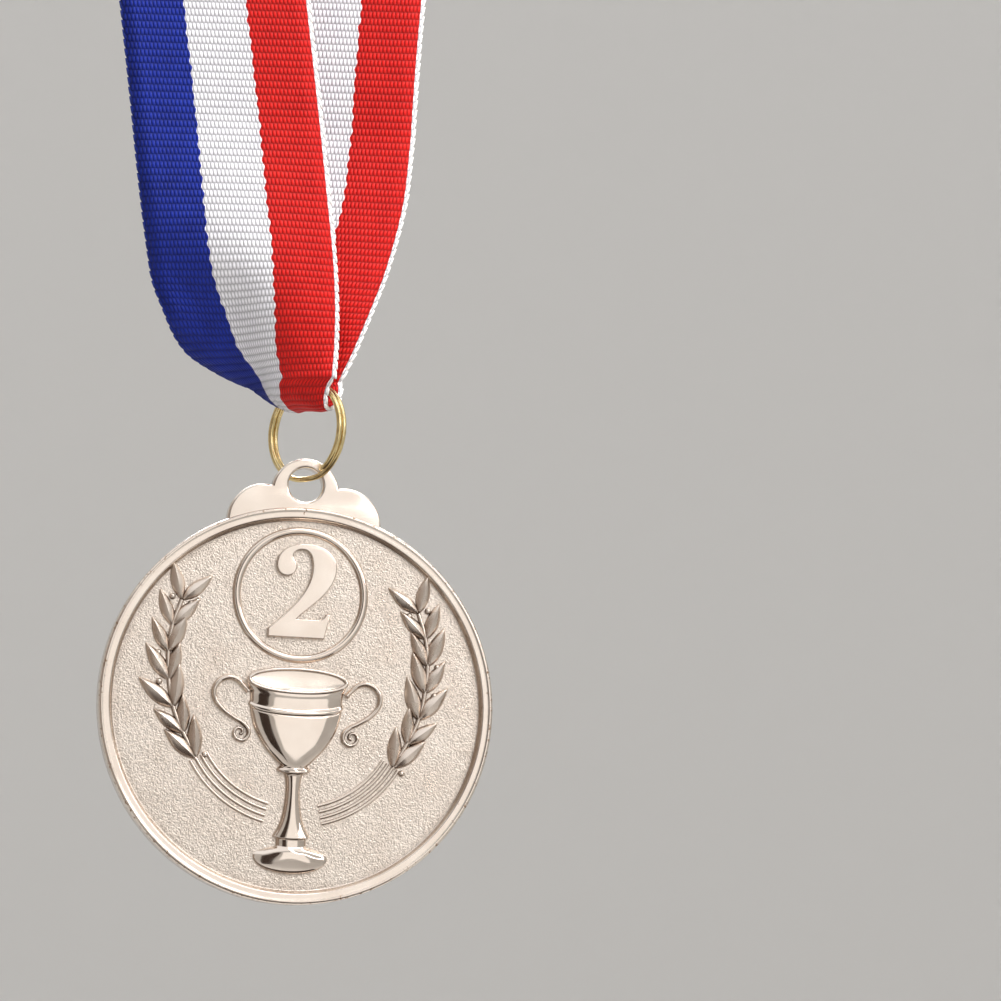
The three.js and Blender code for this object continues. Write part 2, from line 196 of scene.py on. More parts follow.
def fan_row(side, height_mm):
    """One line across the ribbon where it fans out over the ring, from the red edge to the blue edge."""
    headings = [eased(fan_heights, h, height_mm) for h in (red_heading, white_heading, blue_heading)]
    shares = [eased(fan_heights, s, height_mm) for s in (red_share, white_share, blue_share)]
    edge_x, edge_y = (eased(fan_heights, values, height_mm) * mm for values in red_edge[side])
    row = [Vector((edge_x, edge_y, top_wire.z + height_mm * mm))]
    step = ribbon_width / (column_count - 1)
    for i in range(column_count - 1):
        u = (i + 0.5) * step / stripe_width
        heading, share = (
            eased(stripe_marks, [red, red, white, blue, blue], u) for red, white, blue in (headings, shares)
        )
        turn = math.radians(heading)
        row.append(row[-1] + Vector((-math.cos(turn), math.sin(turn), 0)) * step * share)
    # The right strap passes behind the wire, so low down it keeps clear of the coils.
    near = 1 - smooth_step(*clear_heights, height_mm)
    if side > 0 and near > 0:
        for point in row:
            out = (point - top_wire).dot(across_wire)
            reach = abs((point - top_wire).dot(along_wire))
            room = wire_room + swing_room * smooth_step(*swing_reach, reach)
            clear = (out + room + math.hypot(out - room, clear_round)) / 2
            point += across_wire * (clear - out) * near
    return row


def bunched_row(turn):
    """One line across the ribbon under the wire: turn runs from 0 at the back to pi at the front."""
    side = 1 if turn < math.pi / 2 else -1
    low = math.sin(turn) ** bunch_gather
    row = []
    for i, point in enumerate(fan_row(side, 0)):
        u = i / (column_count - 1) * 3
        out = (point - top_wire).dot(across_wire)
        reach = (point - top_wire).dot(along_wire)
        tucked = eased([0, 1, 2, 3], bunched_edges, u) * mm
        # The red edge hangs lowest, and the folds under the wire aren't quite level.
        depth = bunch_depth * math.sin(turn) * (1.14 - 0.09 * u + 0.04 * math.sin(7 * u))
        here = along_wire * (reach + (tucked - reach) * low) + across_wire * out * abs(math.cos(turn))
        row.append(Vector((here.x, here.y, top_wire.z - depth)))
    return row


def bezier(points, t):
    a, b, c, d = points
    return a * (1 - t) ** 3 + b * 3 * t * (1 - t) ** 2 + c * 3 * t * t * (1 - t) + d * t**3


def strap_row(side, t):
    """One line across a strap between the fan and the crown; it makes a quarter turn on the way up."""
    lean = Vector((strap_lean[side], 0, 1))
    low = Vector((strap_foot[side], strap_back * side, fan_top_z))
    high = Vector((side * crown_radius, 0, crown_centre_z))
    route = [low, low + lean * strap_low_pull * mm, high - Vector((0, 0, strap_high_pull * mm)), high]
    centre = bezier(route, t)
    risen = smooth_step(fan_top_z + 20 * mm, crown_centre_z - 10 * mm, centre.z)
    turn = math.radians(strap_foot_turn + strap_turn * risen)
    return [centre + Vector((math.cos(turn), -math.sin(turn), 0)) * u for u in columns]


def crown_row(angle, lift):
    radius = crown_radius + lift
    centre = Vector((radius * math.cos(angle), 0, crown_centre_z + radius * math.sin(angle)))
    return [centre + Vector((0, -1, 0)) * u for u in columns]


def ribbon_rows():
    half = math.pi / 2
    rows = [crown_row(a, 0) for a in np.linspace(half + lap_angle, 0, 60)[:-1]]
    rows += [strap_row(1, t) for t in np.linspace(1, 0, 160)[:-1]]
    rows += [fan_row(1, h) for h in np.linspace(fan_heights[-1], 0, 90)[:-1]]
    rows += [bunched_row(a) for a in np.linspace(0, math.pi, 50)]
    rows += [fan_row(-1, h) for h in np.linspace(0, fan_heights[-1], 90)[1:]]
    rows += [strap_row(-1, t) for t in np.linspace(0, 1, 160)[1:]]
    for angle in np.linspace(math.pi, half - lap_angle, 100)[1:]:
        lifted = smooth_step(half + 3.4 * lap_angle, half + 1.2 * lap_angle, angle)
        rows.append(crown_row(angle, lap_lift * lifted))
    return np.array([[tuple(p) for p in row] for row in rows])


def linear(hex_colour):
    """sRGB hex to the linear colour that a shader socket holds."""
    parts = [int(hex_colour[i:i + 2], 16) / 255 for i in (1, 3, 5)]
    return [p / 12.92 if p <= 0.04045 else ((p + 0.055) / 1.055) ** 2.4 for p in parts] + [1]


def add_node(tree, kind, inputs=None, **settings):
    """Adds one node; inputs maps a socket's name or number to a value or to another node's output."""
    node = tree.nodes.new(kind)
    for name, value in settings.items():
        setattr(node, name, value)
    for name, value in (inputs or {}).items():
        if isinstance(value, bpy.types.NodeSocket):
            tree.links.new(value, node.inputs[name])
        else:
            node.inputs[name].default_value = value
    return node


def new_material(name):
    """A material and its tree, still empty."""
    material = bpy.data.materials.new(name)
    material.use_nodes = True
    material.node_tree.nodes.clear()
    return material, material.node_tree


def end_material(tree, finish):
    """The end of every material: the shader with what goes into it, and the output."""
    shader = add_node(tree, "ShaderNodeBsdfPrincipled", finish)
    add_node(tree, "ShaderNodeOutputMaterial", {"Surface": shader.outputs[0]})


def woven_ribbon():
    """Polyester grosgrain: dull, with round crosswise ribs and short floats laid like bricks on each, and
    painted shade that darkens its colour between them.
    """
    material, tree = new_material("woven_polyester_ribbon")
    cloth = add_node(tree, "ShaderNodeUVMap", uv_map="cloth").outputs[0]
    split = add_node(tree, "ShaderNodeSeparateXYZ", {0: cloth})
    found = {"across": split.outputs[0], "along": split.outputs[1]}
    ragged = {"Vector": cloth, "Scale": 900, "Detail": 1}
    found["fray"] = add_node(tree, "ShaderNodeTexNoise", ragged).outputs[0]
    # Each line: the result's name, the sum that makes it, and what goes in.
    sums = [
        ("row", "DIVIDE", "along", rib_pitch),
        ("scallop", "MULTIPLY", "row", math.pi),
        ("scallop", "SINE", "scallop"),
        ("scallop", "MULTIPLY", "scallop", 0.12 * mm),
        ("fray", "MULTIPLY_ADD", "fray", 0.4 * mm, -0.2 * mm),
        ("place", "ADD", "across", "scallop"),
        ("place", "ADD", "place", "fray"),
        ("is_red", "GREATER_THAN", "place", 2 * stripe_width),
        ("is_blue", "LESS_THAN", "place", stripe_width),
        ("is_edge", "GREATER_THAN", "across", ribbon_width - 0.3 * mm),
        ("row_number", "FLOOR", "row"),
        ("odd", "FLOORED_MODULO", "row_number", 2.0),
        ("yarn", "DIVIDE", "across", yarn_pitch),
        ("yarn", "MULTIPLY_ADD", "odd", 0.5, "yarn"),
        ("yarn", "FRACT", "yarn"),
        ("yarn", "MULTIPLY", "yarn", math.pi),
        ("bulge", "SINE", "yarn"),
        ("bulge", "POWER", "bulge", 0.8),
        ("rib", "MULTIPLY", "row", math.pi),
        ("rib", "SINE", "rib"),
        ("rib", "ABSOLUTE", "rib"),
        ("rib", "POWER", "rib", 0.7),
        ("height", "MULTIPLY", "bulge", "rib"),
        ("shade", "MULTIPLY_ADD", "height", 0.62, 0.5),
    ]
    for name, operation, *values in sums:
        inputs = {i: found[v] if isinstance(v, str) else v for i, v in enumerate(values)}
        found[name] = add_node(tree, "ShaderNodeMath", inputs, operation=operation).outputs[0]
    mottle = add_node(tree, "ShaderNodeTexNoise", {"Vector": cloth, "Scale": 350, "Detail": 3}).outputs[0]
    stripes = []
    for dark, light in stripe_colours:
        tones = {"Factor": mottle, 6: linear(dark), 7: linear(light)}
        stripes.append(add_node(tree, "ShaderNodeMix", tones, data_type="RGBA").outputs[2])
    blue, white, red = stripes
    colour = white
    for chosen, stripe in (("is_blue", blue), ("is_red", red), ("is_edge", white)):
        colours = {"Factor": found[chosen], 6: colour, 7: stripe}
        colour = add_node(tree, "ShaderNodeMix", colours, data_type="RGBA").outputs[2]
    # Painted shade: the colour is multiplied down where the weave is low, between the ribs and between the
    # floats.
    shaded = {"Factor": 1.0, 6: colour, 7: found["shade"]}
    colour = add_node(tree, "ShaderNodeMix", shaded, data_type="RGBA", blend_type="MULTIPLY").outputs[2]
    bumps = {"Height": found["height"], "Strength": 0.8, "Distance": 0.15 * mm}
    end_material(tree, {
        "Base Color": colour, "Normal": add_node(tree, "ShaderNodeBump", bumps).outputs[0],
        "Roughness": 0.55, "Specular IOR Level": 0.25, "Sheen Weight": 0.03, "Sheen Roughness": 0.4,
    })
    return material


def mesh_object(name, points, faces, materials, smooth=True):
    """A mesh at the origin with its place in its points."""
    mesh = bpy.data.meshes.new(name)
    mesh.from_pydata([tuple(p) for p in points], [], faces)
    mesh.validate()
    for material in materials:
        mesh.materials.append(material)
    if smooth:
        mesh.shade_smooth()
    return new_object(name, mesh)


def resampled(rows, count):
    """Spreads count lines evenly along the middle of the ribbon."""
    middle = rows[:, rows.shape[1] // 2]
    run = np.concatenate([[0], np.cumsum(np.linalg.norm(np.diff(middle, axis=0), axis=1))])
    wanted = np.linspace(0, run[-1], count)
    flat = rows.reshape(len(rows), -1)
    even = np.array([np.interp(wanted, run, flat[:, i]) for i in range(flat.shape[1])]).T
    return even.reshape(count, rows.shape[1], 3), wanted


def surface_normals(grid):
    """Normals of a grid of points, from its neighbours both ways."""
    down = np.gradient(grid, axis=0)
    over = np.gradient(grid, axis=1)
    normals = np.cross(down, over)
    return normals / np.linalg.norm(normals, axis=2, keepdims=True)


def ribbon_mesh():
    count = int(ribbon_length / rib_pitch) * rows_per_rib + 1
    grid, run = resampled(ribbon_rows(), count)
    normals = surface_normals(grid)
    wave = np.abs(np.sin(np.pi * run / rib_pitch))[:, None, None] * rib_height
    front = grid + normals * (ribbon_wall / 2 + wave)
    back = grid - normals * (ribbon_wall / 2 + wave)
    points = np.concatenate([front.reshape(-1, 3), back.reshape(-1, 3)])
    offset = count * column_count
    faces = []
    for i in range(count - 1):
        for j in range(column_count - 1):
            a, b = i * column_count + j, i * column_count + j + 1
            c, d = b + column_count, a + column_count
            faces.append((d, c, b, a))
            faces.append((offset + a, offset + b, offset + c, offset + d))
        for j, turned_out in ((0, False), (column_count - 1, True)):
            a, d = i * column_count + j, (i + 1) * column_count + j
            quad = (a, offset + a, offset + d, d)
            faces.append(quad[::-1] if turned_out else quad)
    for i, turned_out in ((0, True), (count - 1, False)):
        for j in range(column_count - 1):
            a, b = i * column_count + j, i * column_count + j + 1
            quad = (a, offset + a, offset + b, b)
            faces.append(quad if turned_out else quad[::-1])
    ribbon = mesh_object("neck_ribbon", points, faces, [woven_ribbon()])
    cloth = ribbon.data.uv_layers.new(name="cloth")
    index = np.empty(len(ribbon.data.loops), int)
    ribbon.data.loops.foreach_get("vertex_index", index)
    index %= offset
    across = ribbon_width / 2 + columns[index % column_count]
    along = run[index // column_count]
    cloth.data.foreach_set("uv", np.stack([across, along], axis=1).ravel())
    return ribbon, grid


ribbon, ribbon_grid = ribbon_mesh()
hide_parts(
    "ribbon_fold", "ribbon_strap_left", "ribbon_strap_right",
    "ribbon_crown_left", "ribbon_crown_right",
)
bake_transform(ribbon)


# ---- Picots ----
# The weft turns back at both edges of the ribbon and leaves a row of small loops there, white beside the red
# stripe and blue beside the blue one. Each is a short bead of yarn, laid a little slantwise.

picot_pitch = 1.25 * mm
picot_size = (0.5 * mm, 1.9 * mm, 0.46 * mm)      # across the edge, along it, through the cloth
picot_slant = math.radians(13)


def new_tree(name, sockets, made):
    """A tree with its named inputs, given as a socket kind each, and one geometry output."""
    tree = bpy.data.node_groups.new(name, "GeometryNodeTree")
    for label, kind in sockets.items():
        tree.interface.new_socket(label, in_out="INPUT", socket_type="NodeSocket" + kind)
    tree.interface.new_socket(made, in_out="OUTPUT", socket_type="NodeSocketGeometry")
    return tree, add_node(tree, "NodeGroupInput").outputs


def end_tree(tree, geometry, made, material):
    """The end of every tree: real, smooth geometry with its material."""
    real = add_node(tree, "GeometryNodeRealizeInstances", {0: geometry}).outputs[0]
    smooth = add_node(tree, "GeometryNodeSetShadeSmooth", {0: real}).outputs[0]
    coat = {"Geometry": smooth, "Material": material}
    add_node(tree, "NodeGroupOutput", {made: add_node(tree, "GeometryNodeSetMaterial", coat).outputs[0]})
    return tree


def row_of_beads(name, material):
    """A tree that strings small closed beads along each edge it is given."""
    sockets = {"Edge": "Geometry", "Pitch": "Float", "Slant": "Float", "Size": "Vector"}
    tree, given = new_tree(name, sockets, "Beads")
    line = add_node(tree, "GeometryNodeMeshToCurve", {"Mesh": given["Edge"]}).outputs[0]
    spacing = {"Curve": line, "Length": given["Pitch"]}
    spots = add_node(tree, "GeometryNodeCurveToPoints", spacing, mode="LENGTH")
    slant = add_node(tree, "ShaderNodeCombineXYZ", {"Z": given["Slant"]}).outputs[0]
    pointing = {"Vector": spots.outputs["Tangent"]}
    upright = add_node(tree, "FunctionNodeAlignRotationToVector", pointing, axis="Y")
    tilt = {"Rotation": upright.outputs[0], "Rotate By": slant}
    laid = add_node(tree, "FunctionNodeRotateRotation", tilt, rotation_space="LOCAL").outputs[0]
    bead = add_node(tree, "GeometryNodeMeshUVSphere", {"Segments": 6, "Rings": 4, "Radius": 0.5}).outputs[0]
    put = {"Points": spots.outputs["Points"], "Instance": bead, "Rotation": laid, "Scale": given["Size"]}
    strung = add_node(tree, "GeometryNodeInstanceOnPoints", put).outputs[0]
    return end_tree(tree, strung, "Beads", material)


def grown(name, source, tree, values):
    """Runs a tree on an object and keeps what it makes as a plain mesh, without the modifier."""
    modifier = source.modifiers.new("tree", "NODES")
    modifier.node_group = tree
    for item in tree.interface.items_tree:
        if item.in_out == "INPUT" and item.name in values:
            modifier[item.identifier] = values[item.name]
    ready = source.evaluated_get(bpy.context.evaluated_depsgraph_get())
    mesh = bpy.data.meshes.new_from_object(ready, depsgraph=bpy.context.evaluated_depsgraph_get())
    source.modifiers.remove(modifier)
    bpy.data.objects.remove(source)
    mesh.name = name
    return new_object(name, mesh)


def line_mesh(name, lines):
    """Plain edges through rows of points, for a tree to follow."""
    points, edges = [], []
    for line in lines:
        edges += [(len(points) + i, len(points) + i + 1) for i in range(len(line) - 1)]
        points += [tuple(p) for p in line]
    mesh = bpy.data.meshes.new(name)
    mesh.from_pydata(points, edges, [])
    return new_object(name, mesh)


def yarn(name, dark, light):
    """Spun polyester yarn: dull, with fine lighter and darker fibres."""
    material, tree = new_material(name)
    place = add_node(tree, "ShaderNodeTexCoord").outputs["Object"]
    fibres = add_node(tree, "ShaderNodeTexNoise", {"Vector": place, "Scale": 2600, "Detail": 3}).outputs[0]
    tones = {"Factor": fibres, 6: linear(dark), 7: linear(light)}
    tone = add_node(tree, "ShaderNodeMix", tones, data_type="RGBA").outputs[2]
    bumps = {"Height": fibres, "Strength": 0.5, "Distance": 0.06 * mm}
    end_material(tree, {
        "Base Color": tone, "Normal": add_node(tree, "ShaderNodeBump", bumps).outputs[0],
        "Roughness": 0.7, "Specular IOR Level": 0.3,
    })
    return material


for name, column, dark, light in (
    ("red_edge_picots", 0, "#d8d2cf", "#fbf8f5"),
    ("blue_edge_picots", -1, "#101d66", "#24398f"),
):
    tree = row_of_beads(name, yarn(name + "_yarn", dark, light))
    edge = line_mesh(name + "_edge", [ribbon_grid[:, column]])
    sizes = {"Pitch": picot_pitch, "Slant": picot_slant, "Size": picot_size}
    row = grown(name, edge, tree, sizes)
    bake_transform(row)


# ---- Seam stitches ----
# White polyester sewing thread closes the loop where the ribbon's two ends lap: a zigzag of lockstitches
# through both layers, which shows on the outside and again on the inside.

stitch_pitch = 2.3 * mm
stitch_size = (0.42 * mm, 2.05 * mm, 0.34 * mm)
seam_turns = 7
seam_inset = 2 * mm
seam_reach = 0.6       # of half the lap
seam_steps = 6


def seam_line(radius):
    """The zigzag across the lap, at one distance from the middle of the crown."""
    line = []
    for i in range(seam_turns + 1):
        angle = math.pi / 2 + lap_angle * seam_reach * (1 if i % 2 == 0 else -1)
        across = (ribbon_width / 2 - seam_inset) * (2 * i / seam_turns - 1)
        line.append((radius * math.cos(angle), across, crown_centre_z + radius * math.sin(angle)))
    smooth_line = []
    for a, b in zip(line, line[1:]):
        for k in range(seam_steps):
            point = Vector(a).lerp(Vector(b), k / seam_steps)
            rise = point.z - crown_centre_z
            grow = radius / math.hypot(point.x, rise)
            smooth_line.append((point.x * grow, point.y, crown_centre_z + rise * grow))
    return smooth_line + [line[-1]]


outer_face = crown_radius + lap_lift + ribbon_wall / 2 + rib_height
inner_face = crown_radius - ribbon_wall / 2 - rib_height
stitch_tree = row_of_beads("lockstitches", yarn("sewing_thread", "#dcd8d4", "#fbfaf8"))
seam_edges = line_mesh("seam_edges", [seam_line(outer_face), seam_line(inner_face)])
sizes = {"Pitch": stitch_pitch, "Slant": 0.0, "Size": stitch_size}
stitches = grown("seam_stitches", seam_edges, stitch_tree, sizes)
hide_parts("seam_thread")
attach(stitches, "ribbon")


# ---- Split ring ----
# Brass-plated spring wire, wound in two coils like a key ring. The coils change places at a short jog,
# and the wire's two cut ends lie beside it.

wire_radius = 0.35 * mm
end_radius = wire_radius * 0.86      # the cut ends are filed a little smaller
coil_pitch = 0.76 * mm
ring_radius = (top_wire.z - low_wire.z) / 2
ring_centre = (top_wire + low_wire) / 2
ring_steps = 300
wire_sides = 16
first_end = math.radians(-56)
jog = math.radians(14)


def coil_point(turned):
    """A point on the wire, by how far it has turned from its first end."""
    angle = first_end + turned
    shift = coil_pitch * (smooth_step(2 * math.pi - 2.6 * jog, 2 * math.pi - 0.6 * jog, turned) - 0.5)
    flat = along_wire * math.cos(angle) + Vector((0, 0, 1)) * math.sin(angle)
    return ring_centre + flat * ring_radius + across_wire * shift, flat


def round_turns(count):
    """The cosine and sine of angles spread evenly round a circle."""
    angles = [2 * math.pi * k / count for k in range(count)]
    return [(math.cos(a), math.sin(a)) for a in angles]


def faces_between(first, second, count):
    """The faces between two closed rings of points, from the number of each ring's first point."""
    pairs = [(k, (k + 1) % count) for k in range(count)]
    return [(first + k, first + n, second + n, second + k) for k, n in pairs]


def wire_mesh():
    total = 4 * math.pi - 5 * jog     # two turns, less the gap that holds both ends and the jog
    points, faces = [], []
    for i in range(ring_steps + 1):
        centre, outward = coil_point(total * i / ring_steps)
        radius = end_radius if i in (0, ring_steps) else wire_radius
        for cos, sin in round_turns(wire_sides):
            points.append(centre + (outward * cos + across_wire * sin) * radius)
    for i in range(ring_steps):
        faces += faces_between(i * wire_sides, (i + 1) * wire_sides, wire_sides)
    faces.append(tuple(range(wire_sides))[::-1])
    faces.append(tuple(ring_steps * wire_sides + k for k in range(wire_sides)))
    return points, faces


def face_outward(thing):
    """Merges doubles and turns every face of a closed mesh outwards."""
    work = bmesh.new()
    work.from_mesh(thing.data)
    bmesh.ops.remove_doubles(work, verts=work.verts, dist=1e-7)
    bmesh.ops.recalc_face_normals(work, faces=work.faces)
    work.to_mesh(thing.data)
    work.free()
    return thing


def brass_wire():
    """Electroplated brass on drawn wire: warm yellow and polished, with small dull clouds."""
    material, tree = new_material("brass_plated_wire")
    place = add_node(tree, "ShaderNodeTexCoord").outputs["Object"]
    clouds = add_node(tree, "ShaderNodeTexNoise", {"Vector": place, "Scale": 1400, "Detail": 4}).outputs[0]
    tones = {"Factor": clouds, 6: linear("#ccac66"), 7: linear("#f3e4b6")}
    polish = {"Value": clouds, "To Min": 0.14, "To Max": 0.32}
    bumps = {"Height": clouds, "Strength": 0.15, "Distance": 0.02 * mm}
    end_material(tree, {
        "Base Color": add_node(tree, "ShaderNodeMix", tones, data_type="RGBA").outputs[2],
        "Roughness": add_node(tree, "ShaderNodeMapRange", polish).outputs[0],
        "Normal": add_node(tree, "ShaderNodeBump", bumps).outputs[0],
        "Metallic": 1,
    })
    return material


split_ring = face_outward(mesh_object("split_ring_wire", *wire_mesh(), [brass_wire()]))
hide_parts("split_ring")
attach(split_ring, "ring")


# ---- Medal disc ----
# A zinc casting plated in a warm silver. Both faces are sunk below a rounded rim. The sunk fields keep the
# pebbled grain of the mould, and the rim and the edge are polished.

field_out = 0.7        # mm in front of the disc's middle plane
field_rings = 100
field_reach = 23       # mm
pebble_depth = 0.02
worn_from = 24.3 * mm  # from the disc's middle, where handling starts to wear the plate
worn_full = 24.95 * mm
pebbled_reach = 23.3 * mm
least_pebble = 0.01    # a shallower grain than this gets no painted shade in its hollows
# Outward from the field: mm from the disc's middle, then mm in front of its middle plane.
front_rim = [
    (23.1, 0.7), (23.26, 0.71), (23.36, 0.8), (23.48, 1.06), (23.6, 1.3), (23.7, 1.41), (23.82, 1.44),
    (24.1, 1.4), (24.4, 1.41), (24.56, 1.47), (24.7, 1.49), (24.84, 1.42), (24.94, 1.28), (25, 1.08),
    (25, 0.3),
]
back_rim = [
    (25, -0.3), (25, -1.08), (24.94, -1.28), (24.84, -1.42), (24.72, -1.49), (24.5, -1.48), (24.38, -1.38),
    (24.26, -1.38), (24.14, -1.48), (23.9, -1.49), (23.74, -1.46), (23.62, -1.34), (23.5, -1.06),
    (23.38, -0.8), (23.28, -0.71), (23.1, -0.7),
]


def on_disc(x, z, out):
    """A point by its mm right of, above and in front of the disc's middle."""
    return Vector((x * mm, -out * mm, disc_centre.z + z * mm))


def disc_mesh():
    steps = 6 * field_rings
    points, faces = [], []

    def pebbled(x, z, out):
        near_rim = smooth_step(field_reach, field_reach - 1, math.hypot(x, z))
        grain = noise.noise(Vector((x / 0.5, z / 0.5, out * 9))) * pebble_depth * near_rim
        return on_disc(x, z, out + grain)

    def round_rows(rows):
        firsts = []
        for radius, out in rows:
            firsts.append(len(points))
            for cos, sin in round_turns(steps):
                points.append(on_disc(radius * cos, radius * sin, out))
        for first, second in zip(firsts, firsts[1:]):
            faces.extend(faces_between(first, second, steps))
        return firsts

    firsts = round_rows(front_rim + back_rim)
    for out, border in ((field_out, firsts[0]), (-field_out, firsts[-1])):
        starts = [len(points)]
        points.append(pebbled(0, 0, out))
        for ring in range(1, field_rings):
            starts.append(len(points))
            radius = front_rim[0][0] * ring / field_rings
            for cos, sin in round_turns(6 * ring):
                points.append(pebbled(radius * cos, radius * sin, out))
        starts.append(border)
        for ring in range(1, field_rings + 1):
            for k in range(6 * ring):
                sector, i = divmod(k, ring)
                outer = starts[ring] + k
                outer_next = starts[ring] + (k + 1) % (6 * ring)
                inner_size = max(6 * (ring - 1), 1)
                inner = starts[ring - 1] + (sector * (ring - 1) + i) % inner_size
                faces.append((inner, outer, outer_next))
                if i < ring - 1:
                    inner_next = starts[ring - 1] + (sector * (ring - 1) + i + 1) % inner_size
                    faces.append((inner, outer_next, inner_next))
    return points, faces


def silver_plate(name, grain_size, grain_depth, smoothest, dullest, rubbed=False):
    """Warm silver electroplate over zinc: bright and slightly rosy, with painted brown shade in every
    crevice and painted shade in the hollows of its grain.
    Polished parts mirror the room, and grain_size in mm breaks the mirror up where the mould was pebbled.
    Where it is rubbed, handling has worn small dull specks through it along the disc's outer edge."""
    material, tree = new_material(name)
    place = add_node(tree, "ShaderNodeTexCoord").outputs["Object"]
    cloud = add_node(tree, "ShaderNodeTexNoise", {"Vector": place, "Scale": 220, "Detail": 4}).outputs[0]
    tones = {"Factor": cloud, 6: linear("#d9c9bb"), 7: linear("#f1e6db")}
    plate = add_node(tree, "ShaderNodeMix", tones, data_type="RGBA").outputs[2]
    # Painted shade: ambient occlusion turns the plate's colour brown in crevices, in corners and beside
    # raised relief.
    reach = {"Distance": 1.1 * mm}
    crevice_occlusion = add_node(tree, "ShaderNodeAmbientOcclusion", reach, samples=4, only_local=True).outputs["AO"]
    limits = {"Value": crevice_occlusion, "From Min": 0.4, "From Max": 0.92}
    unshaded = add_node(tree, "ShaderNodeMapRange", limits).outputs[0]
    painted_crevice_shade = {"Factor": unshaded, 6: linear("#705644"), 7: plate}
    colour = add_node(tree, "ShaderNodeMix", painted_crevice_shade, data_type="RGBA").outputs[2]
    pebbles = {"Vector": place, "Scale": 1000 / grain_size, "Detail": 2}
    grain = add_node(tree, "ShaderNodeTexNoise", pebbles).outputs[0]
    # Painted shade: where the grain's bump is lowest, its colour is darkened too.
    if grain_depth > least_pebble:
        painted_pit_shade = {"Value": grain, "From Min": 0.3, "From Max": 0.55, "To Min": 0.7, "To Max": 1.0}
        dark = add_node(tree, "ShaderNodeMapRange", painted_pit_shade).outputs[0]
        pit_shaded = {"Factor": 1.0, 6: colour, 7: dark}
        colour = add_node(tree, "ShaderNodeMix", pit_shaded, data_type="RGBA", blend_type="MULTIPLY").outputs[2]
    polish = {"Value": cloud, "From Min": 0.3, "From Max": 0.7, "To Min": smoothest, "To Max": dullest}
    roughness = add_node(tree, "ShaderNodeMapRange", polish).outputs[0]
    if rubbed:
        centred = {"Vector": place, "Location": -disc_centre}
        from_middle = add_node(tree, "ShaderNodeMapping", centred, vector_type="POINT").outputs[0]
        far = add_node(tree, "ShaderNodeVectorMath", {0: from_middle}, operation="LENGTH").outputs["Value"]
        near_edge = {"Value": far, "From Min": worn_from, "From Max": worn_full, "To Max": 0.15}
        near = add_node(tree, "ShaderNodeMapRange", near_edge).outputs[0]
        fine = {"Vector": place, "Scale": 2400, "Detail": 5}
        specks = add_node(tree, "ShaderNodeTexNoise", fine).outputs[0]
        rubbing = add_node(tree, "ShaderNodeMath", {0: specks, 1: near}, operation="ADD").outputs[0]
        depth = {"Value": rubbing, "From Min": 0.71, "From Max": 0.79}
        worn = add_node(tree, "ShaderNodeMapRange", depth).outputs[0]
        wear = {"Factor": worn, 6: colour, 7: linear("#94765c")}
        colour = add_node(tree, "ShaderNodeMix", wear, data_type="RGBA").outputs[2]
        dulled = {0: worn, 1: 0.25, 2: roughness}
        roughness = add_node(tree, "ShaderNodeMath", dulled, operation="MULTIPLY_ADD").outputs[0]
    bumps = {"Height": grain, "Strength": 1.0, "Distance": grain_depth * mm}
    end_material(tree, {
        "Base Color": colour, "Roughness": roughness, "Metallic": 1,
        "Normal": add_node(tree, "ShaderNodeBump", bumps).outputs[0],
    })
    return material


rim_plate = silver_plate("silver_plate_rim", 1.4, 0.004, 0.1, 0.22, rubbed=True)
polished_plate = silver_plate("silver_plate_polished", 1.4, 0.004, 0.1, 0.22)
pebbled_plate = silver_plate("silver_plate_pebbled", 0.21, 0.085, 0.26, 0.36)
satin_plate = silver_plate("silver_plate_satin", 1.0, 0.01, 0.2, 0.32)

disc = face_outward(mesh_object("medal_disc", *disc_mesh(), [rim_plate, pebbled_plate]))
for face in disc.data.polygons:
    middle = face.center - disc_centre
    if math.hypot(middle.x, middle.z) < pebbled_reach and abs(middle.y) < 1 * mm:
        face.material_index = 1


def joins_medal(thing):
    """Everything on the medal is one casting: it stands in for it, moves with it and takes its plating."""
    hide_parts("medal_casting")
    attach(thing, "medal")
    return thing


joins_medal(disc)


# ---- Hanging lug ----
# A flat plate cast with the disc: a round lobe with the ring's hole, between two round shoulders. Its edges
# are rounded over, and on the back a low lip runs round the hole.

lobe_middle = 27.0
lobe_radius = 4.3
shoulder_middle = (5.1, 23.09)
shoulder_radius = 4.7
lug_root = 23.9
hole_middle = 27.95
hole_radius = 2.2
hole_lip = 0.62
hole_lip_outs = (-0.85, -1.14)
lug_edge_round = 0.3
lug_half = 1.0


def arc_points(centre, radius, start, end, count):
    """Points in mm on an arc, from one angle to another in degrees."""
    points = []
    for i in range(count):
        a = math.radians(start + (end - start) * i / (count - 1))
        points.append((centre[0] + radius * math.cos(a), centre[1] + radius * math.sin(a)))
    return points


def plate_from_outlines(name, outlines, half_thickness, edge_round, out):
    """A plate with rounded edges, from closed outlines in mm; an outline inside another is a hole."""
    data = bpy.data.curves.new(name, "CURVE")
    data.dimensions = "2D"
    data.fill_mode = "BOTH"
    data.bevel_depth = edge_round * mm
    data.bevel_resolution = 3
    data.offset = -edge_round * mm
    data.extrude = (half_thickness - edge_round) * mm
    for outline in outlines:
        spline = data.splines.new("POLY")
        spline.points.add(len(outline) - 1)
        for point, (x, z) in zip(spline.points, outline):
            point.co = (x * mm, z * mm, 0, 1)
        spline.use_cyclic_u = True
    flat = new_object(name + "_outline", data)
    bpy.context.view_layer.update()
    ready = flat.evaluated_get(bpy.context.evaluated_depsgraph_get())
    mesh = bpy.data.meshes.new_from_object(ready)
    bpy.data.objects.remove(flat)
    mesh.transform(Matrix(((1, 0, 0, 0), (0, 0, -1, -out * mm), (0, 1, 0, disc_centre.z), (0, 0, 0, 1))))
    mesh.materials.clear()
    mesh.materials.append(polished_plate)
    mesh.name = name
    thing = face_outward(new_object(name, mesh))
    mesh.shade_smooth()
    mesh.set_sharp_from_angle(angle=math.radians(32))
    return thing


